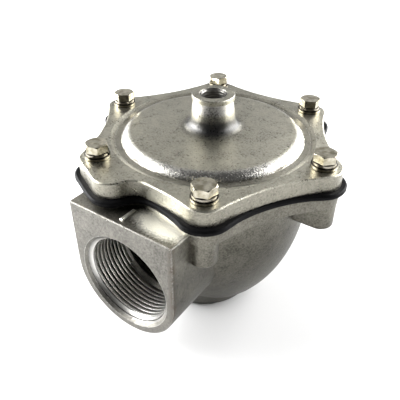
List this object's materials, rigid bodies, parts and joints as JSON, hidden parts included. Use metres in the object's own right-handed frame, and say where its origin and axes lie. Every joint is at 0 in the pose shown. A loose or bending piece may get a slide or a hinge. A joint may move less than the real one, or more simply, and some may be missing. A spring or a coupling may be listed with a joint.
{
  "type": "dust collector pulse valve",
  "caption": "Right-angle diaphragm pulse valve with a bowl-shaped cast body, a side inlet, a bottom outlet, and a lobed cover with a central pilot port.",
  "frame": {"origin": "centre of the outlet's ring face, on the valve's axis", "axes": "+Z along the valve's axis, up to the cover; the inlet opens along -Y and the outlet along -Z"},
  "size_m": [0.144, 0.1375, 0.1115],
  "materials": {
    "cast_aluminium": "die cast, matt with polished edges",
    "rubber": "matt black",
    "plated_steel": "bright nickel plate",
    "spring_steel": "bright plate",
    "plate_steel": "pressed, satin",
    "brass": "turned"
  },
  "bodies": {
    "housing": {"valve_body": "cast_aluminium", "cover": "cast_aluminium", "diaphragm": "rubber", "return_spring": "spring_steel", "bleed_jet": "brass", "cover_bolt_1": "plated_steel", "spring_washer_1": "spring_steel", "flat_washer_1": "plated_steel", "cover_bolt_2": "plated_steel", "spring_washer_2": "spring_steel", "flat_washer_2": "plated_steel", "cover_bolt_3": "plated_steel", "spring_washer_3": "spring_steel", "flat_washer_3": "plated_steel", "cover_bolt_4": "plated_steel", "spring_washer_4": "spring_steel", "flat_washer_4": "plated_steel", "cover_bolt_5": "plated_steel", "spring_washer_5": "spring_steel", "flat_washer_5": "plated_steel", "cover_bolt_6": "plated_steel", "spring_washer_6": "spring_steel", "flat_washer_6": "plated_steel"},
    "poppet": {"backing_plate": "plate_steel", "clamp_plate": "plate_steel", "centre_screw": "plated_steel", "centre_lock_washer": "spring_steel", "centre_nut": "plated_steel"}
  },
  "joints": [
    {"name": "diaphragm_lift", "type": "slide", "parent": "housing", "child": "poppet", "axis": [0, 0, 1], "range_m": [0, 0.0095], "stiffness_N_per_m": 880, "springref_m": -0.006, "deforming": ["diaphragm", "return_spring"]}
  ]
}
